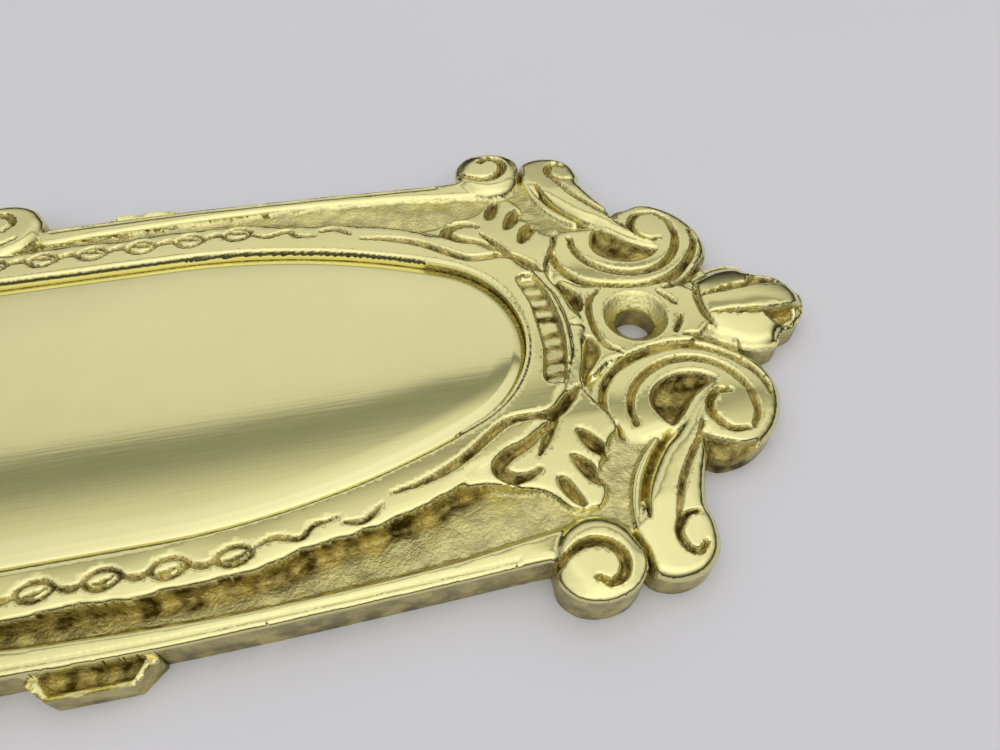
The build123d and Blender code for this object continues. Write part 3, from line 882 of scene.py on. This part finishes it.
def trial_grid():
    """The fine grid, how much the height bends at each of its points, and its row numbers."""
    xs, ys = np.arange(FINE / 2, HALF_LENGTH, FINE), np.arange(FINE / 2, HALF_WIDTH, FINE)
    gx, gy = np.meshgrid(xs, ys, indexing="ij")
    metal = oval_distance(gx, gy) > 0
    z, inside = np.full(gx.shape, LIP_EDGE), np.full(gx.shape, -1.0)
    z[metal], _, inside[metal] = carve(gx[metal], gy[metal])
    bend = np.zeros(gx.shape)
    bend[1:-1, :] += np.abs(z[2:, :] - 2 * z[1:-1, :] + z[:-2, :])
    bend[:, 1:-1] += np.abs(z[:, 2:] - 2 * z[:, 1:-1] + z[:, :-2])
    spread = bend.copy()
    spread[1:, :] = np.maximum(spread[1:, :], bend[:-1, :])
    spread[:-1, :] = np.maximum(spread[:-1, :], bend[1:, :])
    spread[:, 1:] = np.maximum(spread[:, 1:], bend[:, :-1])
    spread[:, :-1] = np.maximum(spread[:, :-1], bend[:, 1:])
    rows, columns = np.indices(gx.shape)
    spread[(np.abs(gx - TAB_MIDDLE) < 7.2) & (gy > 30)] = 1.0
    spread[inside < RIM_CLEAR] = -1
    return gx, gy, spread, rows, columns


def pick_points(trial, bend_limit, sparse):
    """Points of the trial grid that the shape needs, each moved a little to break up the rows."""
    gx, gy, bend, rows, columns = trial
    keep = (bend > bend_limit) | ((rows % sparse == 0) & (columns % sparse == 0))
    keep &= bend >= 0
    shift = np.random.default_rng(5).uniform(-0.15 * FINE, 0.15 * FINE, (2, *gx.shape))
    points = np.c_[(gx + shift[0])[keep], (gy + shift[1])[keep]]
    points = points[oval_distance(points[:, 0], points[:, 1]) > 0.12]
    points = points[np.abs(np.hypot(points[:, 0] - hole, points[:, 1]) - BORE) > 0.12]
    return points[nearest_point(points, edges) > KEEP_OFF]


trial = trial_grid()
near_lattice, far_lattice = pick_points(trial, NEAR_BEND, 2), pick_points(trial, FAR_BEND, 3)
print("rim", len(rim), "near lattice", len(near_lattice), "far lattice", len(far_lattice))

# %% [markdown]
# The points are triangulated, and triangles whose middle falls outside the metal are thrown away:
# beyond the outline, inside the aperture or inside the screw hole. One quarter is then mirrored
# along and across, as the founder's carver would repeat one good corner in the pattern. A little
# slow unevenness over the whole plate keeps the corners from being too alike.

# %% One skin of metal


def quarter_skin(lattice):
    """Points, triangles and skin values of the front of one quarter, in millimetres."""
    points = np.vstack([edges, bore, lattice])
    flat = [Vector(p) for p in points]
    placed, _, faces, *_ = delaunay_2d_cdt(flat, [], [], 0, 1e-6)
    points = np.array([(p.x, p.y) for p in placed])
    z, skin, inside = carve(points[:, 0], points[:, 1])
    faces = np.array(faces)
    middle = points[faces].mean(1)
    keep = inside[faces].mean(1) > 0
    unsure = inside[faces].min(1) < 0.5
    keep[unsure] = carve(middle[unsure, 0], middle[unsure, 1])[2] > 0.01
    keep &= oval_distance(middle[:, 0], middle[:, 1]) > 0
    keep &= np.hypot(middle[:, 0] - hole, middle[:, 1]) > BORE - 0.02
    faces = faces[keep]
    used = np.unique(faces)
    renumber = np.zeros(len(points), int)
    renumber[used] = np.arange(len(used))
    return np.c_[points[used], z[used]], renumber[faces], skin[used]


SKIN_POINTS, SKIN_VALUES, SKIN_HEIGHTS = [], [], []


def front_sheet():
    """The whole front as one open sheet."""
    corners, all_faces, count = [], [], 0
    for lattice, sx in ((near_lattice, 1), (far_lattice, -1)):
        points, faces, skin = quarter_skin(lattice)
        SKIN_POINTS.extend(points[:, :2])
        SKIN_VALUES.extend(skin)
        SKIN_HEIGHTS.extend(points[:, 2])
        for sy in (1, -1):
            corners.append(points * (sx, sy, 1))
            all_faces.append((faces if sx * sy > 0 else faces[:, ::-1]) + count)
            count += len(points)
    verts = np.vstack(corners)
    verts[:, 2] += 0.05 * grain_noise(verts[:, 0] + 300, verts[:, 1] + 300, 6.0, 11)
    mesh = bpy.data.meshes.new("casting")
    mesh.from_pydata((verts * MM).tolist(), [], np.vstack(all_faces).tolist())
    sheet = bpy.data.objects.new("casting", mesh)
    bpy.context.collection.objects.link(sheet)
    return sheet


def only(piece):
    """Deselects everything else and makes piece the active object."""
    if bpy.context.object and bpy.context.object.mode != "OBJECT":
        bpy.ops.object.mode_set(mode="OBJECT")
    bpy.ops.object.select_all(action="DESELECT")
    piece.select_set(True)
    bpy.context.view_layer.objects.active = piece


casting = front_sheet()
only(casting)
bpy.ops.object.mode_set(mode="EDIT")
bpy.ops.mesh.select_all(action="SELECT")
bpy.ops.mesh.remove_doubles(threshold=0.00001)
bpy.ops.mesh.normals_make_consistent(inside=False)
bpy.ops.object.mode_set(mode="OBJECT")
print("front sheet", len(casting.data.vertices), "points", len(casting.data.polygons), "faces")

# %% [markdown]
# ## Walls and back
# The sheet's edges are pulled down to the table to make the outer wall, the wall of the aperture
# and the two bores, and the foot is closed. The result is a solid block of metal, from which the
# hollow back is then cut: shallow under the ornament, deeper round the aperture for the flap and
# its hinge. The founder does that with a second half of the mould.

# %% Pull the edges down and close the foot
RIM_EASE, WELL_BELOW = 0.4, 10
if casting.data.polygons[0].normal.z < 0:
    casting.data.flip_normals()
bpy.ops.object.mode_set(mode="EDIT")
bpy.ops.mesh.select_mode(type="EDGE")
bpy.ops.mesh.select_all(action="DESELECT")
bpy.ops.mesh.select_non_manifold(extend=False)
print("open edges", casting.data.total_edge_sel)
bpy.ops.mesh.extrude_edges_move(TRANSFORM_OT_translate={"value": (0, 0, -RIM_EASE * MM)})
bpy.ops.mesh.extrude_edges_move(TRANSFORM_OT_translate={"value": (0, 0, -WELL_BELOW * MM)})
bpy.ops.transform.resize(value=(1, 1, 0), center_override=(0, 0, 0))
bpy.ops.mesh.fill(use_beauty=True)
bpy.ops.mesh.select_all(action="SELECT")
bpy.ops.mesh.normals_make_consistent(inside=False)
bpy.ops.mesh.select_all(action="DESELECT")
bpy.ops.mesh.select_non_manifold(extend=False)
bpy.ops.object.mode_set(mode="OBJECT")
open_edges = sum(e.select for e in casting.data.edges)
print("block", len(casting.data.polygons), "faces, open edges left", open_edges)

# %% [markdown]
# The cutters for the back are solids of their own: a deep pocket that follows the aperture, and
# two shallow boxes under the ground and the ends, with a round boss of metal left standing at
# each screw hole. Lugs for the hinge pin are added after that.

# %% Cutters and lugs
POCKET_MARGIN, POCKET_TOP = 5.2, 4.0
HOLLOW_TOP = 1.8
HOLLOW_X, HOLLOW_Y = 99.2, 28.7
END_X, END_Y = 111.4, 11.8
BOSS = 6.5
PIN_RADIUS, PIN_BORE = 0.9, 0.95
PIN_Y, PIN_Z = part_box("hinge_pin")[0][1] / MM + PIN_RADIUS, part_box("hinge_pin")[0][2] / MM + PIN_RADIUS
PIN_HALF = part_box("hinge_pin")[1][0] / MM
LUG_X, LUG_HALF, LUG_RADIUS, LUG_ROOT_Y = 44.0, 1.5, 1.8, 26.5
SUNK_IN = 0.3


def oval_loop(margin, spacing=2.0):
    """The whole oval, grown by margin, as a closed list of points."""
    quarter = oval_quarter(margin, spacing)
    top = np.vstack([quarter, quarter[-2::-1] * (1, -1)])
    return np.vstack([top, top[-2:0:-1] * (-1, 1)])


def face_piece(name, outline, z):
    """A new object with one flat face, its outline at height z, ready to be extruded."""
    mesh = bpy.data.meshes.new(name)
    mesh.from_pydata([(x * MM, y * MM, z * MM) for x, y in outline], [], [range(len(outline))])
    piece = bpy.data.objects.new(name, mesh)
    bpy.context.collection.objects.link(piece)
    only(piece)
    return piece


def pull_up(piece, height):
    """Extrudes the one face of a piece straight up into a closed block."""
    only(piece)
    bpy.ops.object.mode_set(mode="EDIT")
    bpy.ops.mesh.select_all(action="SELECT")
    bpy.ops.mesh.extrude_region_move(TRANSFORM_OT_translate={"value": (0, 0, height * MM)})
    bpy.ops.mesh.select_all(action="SELECT")
    bpy.ops.mesh.normals_make_consistent(inside=False)
    bpy.ops.object.mode_set(mode="OBJECT")
    return piece


def block(name, low, high):
    """A box between two corners."""
    (x0, y0, z0), (x1, y1, z1) = low, high
    return pull_up(face_piece(name, [(x0, y0), (x1, y0), (x1, y1), (x0, y1)], z0), z1 - z0)


def rod(name, centre, radius, depth, axis="Z", vertices=64):
    """A cylinder of the given radius, along Z or X."""
    only(casting)
    bpy.ops.object.select_all(action="DESELECT")
    turned = (0, pi / 2, 0) if axis == "X" else (0, 0, 0)
    bpy.ops.mesh.primitive_cylinder_add(vertices=vertices, radius=radius * MM, depth=depth * MM,
                                        location=[v * MM for v in centre], rotation=turned)
    piece = bpy.context.object
    piece.name = name
    bpy.ops.object.transform_apply(location=True, rotation=True, scale=True)
    return piece


def combine(piece, other, operation):
    """Cuts other out of piece, or joins it on, and removes other."""
    only(piece)
    joint = piece.modifiers.new("shape", "BOOLEAN")
    joint.operation, joint.object, joint.solver = operation, other, "MANIFOLD"
    bpy.ops.object.modifier_apply(modifier=joint.name)
    bpy.data.objects.remove(other)


BELOW = -1.0
pocket = pull_up(face_piece("pocket_cutter", oval_loop(POCKET_MARGIN), BELOW), POCKET_TOP - BELOW)
combine(casting, pocket, "DIFFERENCE")
long_hollow = block("long_hollow", (-HOLLOW_X, -HOLLOW_Y, BELOW), (HOLLOW_X, HOLLOW_Y, HOLLOW_TOP))
end_hollow = block("end_hollow", (-END_X, -END_Y, BELOW), (END_X, END_Y, HOLLOW_TOP))
combine(long_hollow, end_hollow, "UNION")
for side in (1, -1):
    combine(long_hollow, rod("screw_boss", (side * hole, 0, 0), BOSS, 8), "DIFFERENCE")
combine(casting, long_hollow, "DIFFERENCE")
for side in (1, -1):
    lug = rod("lug", (side * LUG_X, PIN_Y, PIN_Z), LUG_RADIUS, 2 * LUG_HALF, axis="X")
    root = block("lug_root", (side * LUG_X - LUG_HALF, PIN_Y - LUG_RADIUS, PIN_Z),
                 (side * LUG_X + LUG_HALF, LUG_ROOT_Y, POCKET_TOP + SUNK_IN))
    combine(lug, root, "UNION")
    combine(lug, rod("pin_bore", (side * LUG_X, PIN_Y, PIN_Z), PIN_BORE, 8, axis="X"), "DIFFERENCE")
    combine(casting, lug, "UNION")
bm = bmesh.new()
bm.from_mesh(casting.data)
print("casting", len(casting.data.polygons), "faces, open edges", sum(not e.is_manifold for e in bm.edges))
bm.free()

# %% [markdown]
# The *skin* value goes back onto the points of the finished block: the front points keep the value
# that the carving gave them, the outer wall is duller and browner towards its foot, and the hollow
# back is left just as it came out of the sand.

# %% Skin values and smooth shading
DARKER_WALL_FOOT = 0.8
carved_points = KDTree(len(SKIN_POINTS))
for index, (x, y) in enumerate(SKIN_POINTS):
    carved_points.insert((x, y, 0), index)
carved_points.balance()


def set_skin(piece, value_at):
    layer = piece.data.attributes.get("skin") or piece.data.attributes.new("skin", "FLOAT", "POINT")
    layer.data.foreach_set("value", [value_at(v.co / MM) for v in piece.data.vertices])


def casting_skin(place):
    _, index, away = carved_points.find((abs(place.x), abs(place.y), 0))
    carved = float(SKIN_VALUES[index]) if away < 0.02 else None
    on_back = abs(place.x) < END_X + 0.1 and abs(place.y) < HOLLOW_Y + 0.1 and place.z < POCKET_TOP + 0.01
    # the outer wall: duller and darker brown towards its foot, beside the table
    if place.z < 0.05 and not on_back:
        return DARKER_WALL_FOOT
    if carved is None or (on_back and place.z < HOLLOW_TOP + 0.01):
        return 1.0
    below_rim = place.z < SKIN_HEIGHTS[index] - 0.25
    return max(carved, 0.6 * DARKER_WALL_FOOT) if below_rim else carved


set_skin(casting, casting_skin)
casting.data.materials.clear()
casting.data.materials.append(plate_brass)
only(casting)
bpy.ops.object.shade_smooth_by_angle(angle=radians(72))
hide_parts("front_plate")
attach(casting, PLATE)

# %% [markdown]
# ## The flap
# The flap is a second casting: a thin oval leaf that bears on the back of the ring, with a
# pillow-shaped front that fills the aperture. Its front edge is a sloping band a little over a
# millimetre wide, and from there it rises only slightly to the middle. By hand that is one face
# of the oval, extruded for the leaf and then inset and raised again and again. A squashed sphere
# would be quicker, but its edge would not keep a band of even width.

# %% Model the flap
FLAP_BACK, FLAP_LEAF, FLAP_OVERLAP = 2.35, 1.5, 1.2
STEPS = ((1.32, 0.0), (0.0, 0.62), (0.10, 0.14), (0.40, 0.20), (0.55, 0.18), (0.30, 0.09), (0.3, 0.03),
         (2.0, 0.05), (3.0, 0.05), (4.0, 0.04))


def inset_and_raise(inset, rise):
    """One step of the pillow: the selected face shrinks by inset and goes up by rise."""
    if inset:
        bpy.ops.mesh.inset(thickness=inset * MM, use_even_offset=True)
        bpy.ops.transform.translate(value=(0, 0, rise * MM))
    else:
        bpy.ops.mesh.extrude_region_move(TRANSFORM_OT_translate={"value": (0, 0, rise * MM)})


flap = pull_up(face_piece("flap_leaf", oval_loop(FLAP_OVERLAP, 1.2), FLAP_BACK), FLAP_LEAF)
top_face = max(flap.data.polygons, key=lambda f: f.center.z)
bpy.ops.object.mode_set(mode="EDIT")
bpy.ops.mesh.select_mode(type="FACE")
bpy.ops.mesh.select_all(action="DESELECT")
bpy.ops.object.mode_set(mode="OBJECT")
for face in flap.data.polygons:
    face.select = face.index == top_face.index
bpy.ops.object.mode_set(mode="EDIT")
for inset, rise in STEPS:
    inset_and_raise(inset, rise)
bpy.ops.object.mode_set(mode="OBJECT")
print("flap top", round(max(v.co.z for v in flap.data.vertices) / MM, 3), "faces", len(flap.data.polygons))

# %% Knuckles
KNUCKLE, KNUCKLE_LENGTH, KNUCKLE_X, WEB_Y = 1.65, 5.0, 39.0, 20.0
for side in (1, -1):
    knuckle = rod("knuckle", (side * KNUCKLE_X, PIN_Y, PIN_Z), KNUCKLE, KNUCKLE_LENGTH, axis="X")
    web = block("knuckle_web", (side * KNUCKLE_X - KNUCKLE_LENGTH / 2, WEB_Y, FLAP_BACK),
                (side * KNUCKLE_X + KNUCKLE_LENGTH / 2, PIN_Y, FLAP_BACK + FLAP_LEAF))
    combine(knuckle, web, "UNION")
    bore_rod = rod("knuckle_bore", (side * KNUCKLE_X, PIN_Y, PIN_Z), PIN_BORE, 8, axis="X")
    combine(knuckle, bore_rod, "DIFFERENCE")
    combine(flap, knuckle, "UNION")


def flap_skin(place):
    return 0.0 if place.z > FLAP_BACK + FLAP_LEAF + 0.05 else 1.0


set_skin(flap, flap_skin)
flap.data.materials.clear()
flap.data.materials.append(flap_brass)
only(flap)
bpy.ops.object.shade_smooth_by_angle(angle=radians(40))
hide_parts("flap")
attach(flap, FLAP)
print("flap with knuckles", len(flap.data.polygons), "faces")

# %% [markdown]
# ## Hinge pin, washers, clips and springs
# These are never seen from the front. The pin is bright drawn steel, the washers are turned
# brass, the clips are blued spring steel and the two torsion springs are drawn music wire.

# %% Small metals


def plain_metal(name, hex_value, roughness, line_mm, variation):
    """A metal with fine turned or drawn lines round its length."""
    material = bpy.data.materials.new(name)
    material.use_nodes = True
    tree = material.node_tree
    shader = tree.nodes["Principled BSDF"]
    place = add_node(tree, "ShaderNodeTexCoord").outputs["Object"]
    fine = add_node(tree, "ShaderNodeTexNoise", {
        "Vector": place, "Scale": 1 / (line_mm * MM), "Detail": 3.0})
    base = colour(hex_value)
    darker = tuple(v * (1 - variation) for v in base[:3]) + (1.0,)
    mix = add_node(tree, "ShaderNodeMix", {"Factor": fine.outputs["Fac"]}, data_type="RGBA")
    mix.inputs["A"].default_value, mix.inputs["B"].default_value = base, darker
    tree.links.new(mix.outputs["Result"], shader.inputs["Base Color"])
    gloss = add_node(tree, "ShaderNodeMapRange", {
        "Value": fine.outputs["Fac"], "To Min": roughness - 0.06, "To Max": roughness + 0.06})
    tree.links.new(gloss.outputs["Result"], shader.inputs["Roughness"])
    bump = add_node(tree, "ShaderNodeBump", {
        "Height": fine.outputs["Fac"], "Strength": 0.2, "Distance": SCRATCH_HEIGHT})
    tree.links.new(bump.outputs["Normal"], shader.inputs["Normal"])
    shader.inputs["Metallic"].default_value = 1.0
    return material


# the pin: bright and a little blurred, with fine lines from the drawing die
drawn_steel = plain_metal("drawn_steel_pin", "#b8b8b4", 0.26, 0.25, 0.2)
# washers: yellower and softer in gloss than the polished casting
turned_brass = plain_metal("turned_brass_washer", "#cdb878", 0.28, 0.2, 0.25)
# clips: dark blue-grey, the colour of heat treated spring steel
blued_steel = plain_metal("blued_steel_clip", "#5a5d63", 0.34, 0.3, 0.3)
# springs: plain grey wire, with small lights on each turn of the coil
music_wire = plain_metal("drawn_music_wire", "#8f8f8d", 0.3, 0.25, 0.25)


def finish_piece(piece, material, node, body, angle=35):
    """Material, shading and the frame's facts for a finished piece."""
    piece.data.materials.clear()
    piece.data.materials.append(material)
    only(piece)
    bpy.ops.object.shade_smooth_by_angle(angle=radians(angle))
    if node:
        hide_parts(node)
    if body:
        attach(piece, body)


def soften_edges(piece, width, sharper_than=40):
    """A small bevel on every sharp edge, applied."""
    only(piece)
    bevel = piece.modifiers.new("edge", "BEVEL")
    bevel.width, bevel.segments, bevel.limit_method = width * MM, 3, "ANGLE"
    bevel.angle_limit = radians(sharper_than)
    bpy.ops.object.modifier_apply(modifier=bevel.name)


# %% Pin, washers and clips
pin = rod("drawn_pin", (0, PIN_Y, PIN_Z), PIN_RADIUS, 2 * PIN_HALF, axis="X", vertices=40)
soften_edges(pin, 0.22)
finish_piece(pin, drawn_steel, "hinge_pin", PLATE)


def ring_on_pin(name, node, bore_radius, material):
    """A flat ring with eased edges where the frame has the node."""
    low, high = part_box(node)
    middle, thickness = (low[0] + high[0]) / 2 / MM, (high[0] - low[0]) / MM
    radius = (high[1] - low[1]) / 2 / MM
    ring = rod(name, (middle, PIN_Y, PIN_Z), radius, thickness, axis="X", vertices=48)
    bpy.ops.object.mode_set(mode="EDIT")
    bpy.ops.mesh.select_mode(type="FACE")
    bpy.ops.mesh.select_all(action="DESELECT")
    bpy.ops.object.mode_set(mode="OBJECT")
    for face in ring.data.polygons:
        face.select = abs(face.normal.x) > 0.9
    bpy.ops.object.mode_set(mode="EDIT")
    bpy.ops.mesh.inset(thickness=(radius - bore_radius) * MM)
    bpy.ops.mesh.bridge_edge_loops()
    bpy.ops.mesh.select_all(action="SELECT")
    bpy.ops.mesh.normals_make_consistent(inside=False)
    bpy.ops.object.mode_set(mode="OBJECT")
    soften_edges(ring, 0.08, sharper_than=60)
    finish_piece(ring, material, node, PLATE)
    return ring


for hand in ("right", "left"):
    ring_on_pin(f"turned_washer_{hand}", f"spacer_washer_{hand}", PIN_BORE, turned_brass)
    ring_on_pin(f"retaining_clip_{hand}", f"pin_clip_{hand}", PIN_RADIUS, blued_steel)

# %% [markdown]
# A torsion spring is one wire: a leg that presses the plate, a close coil round the pin and a
# leg that presses the flap. The wire's path is a curve with a round section, turned into a mesh.
# A screw modifier could wind the coil, but not its legs, and one curve does both without a joint.
# The left-hand spring is a mirrored copy. When the flap opens, one leg goes with it and the coil
# winds up.

# %% Springs
WIRE, COIL, TURNS = 0.3, 1.3, 12
STEPS_PER_TURN = 20
LEG_PLATE_Y, LEG_PLATE_Z = 28.3, 1.45
LEG_FLAP_Y, LEG_FLAP_Z = 15.2, 1.95


def spring_path():
    """Points of the wire of the right-hand spring, from the plate leg to the flap leg."""
    first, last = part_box("spring_right")
    low, high = first[0] / MM + WIRE, last[0] / MM - WIRE
    foot = PIN_Z - COIL
    points = [(low, LEG_PLATE_Y, LEG_PLATE_Z), (low, (LEG_PLATE_Y + PIN_Y) / 2, (LEG_PLATE_Z + foot) / 2)]
    for k in range(TURNS * STEPS_PER_TURN + 1):
        angle = -pi / 2 - 2 * pi * k / STEPS_PER_TURN
        x = low + (high - low) * k / (TURNS * STEPS_PER_TURN)
        points.append((x, PIN_Y + COIL * cos(angle), PIN_Z + COIL * sin(angle)))
    points += [(high, (LEG_FLAP_Y + PIN_Y) / 2, (foot + LEG_FLAP_Z) / 2), (high, LEG_FLAP_Y, LEG_FLAP_Z)]
    return points


def make_spring():
    curve = bpy.data.curves.new("torsion_spring_right", "CURVE")
    curve.dimensions = "3D"
    curve.bevel_depth = WIRE * MM
    curve.bevel_resolution = 3
    curve.use_fill_caps = True
    line = curve.splines.new("POLY")
    path = spring_path()
    line.points.add(len(path) - 1)
    for point, place in zip(line.points, path):
        point.co = (*[v * MM for v in place], 1)
    wire = bpy.data.objects.new("torsion_spring_right", curve)
    bpy.context.collection.objects.link(wire)
    only(wire)
    bpy.ops.object.convert(target="MESH")
    return bpy.context.object


right_spring = make_spring()
left_spring = right_spring.copy()
left_spring.data = right_spring.data.copy()
left_spring.name = "torsion_spring_left"
bpy.context.collection.objects.link(left_spring)
left_spring.data.transform(Matrix.Scale(-1, 4, (1, 0, 0)))
left_spring.data.flip_normals()
for spring, side, hand in ((right_spring, 1, "right"), (left_spring, -1, "left")):
    finish_piece(spring, music_wire, f"spring_{hand}", None)
    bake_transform(spring)
print("springs", [len(s.data.polygons) for s in (right_spring, left_spring)], "faces")
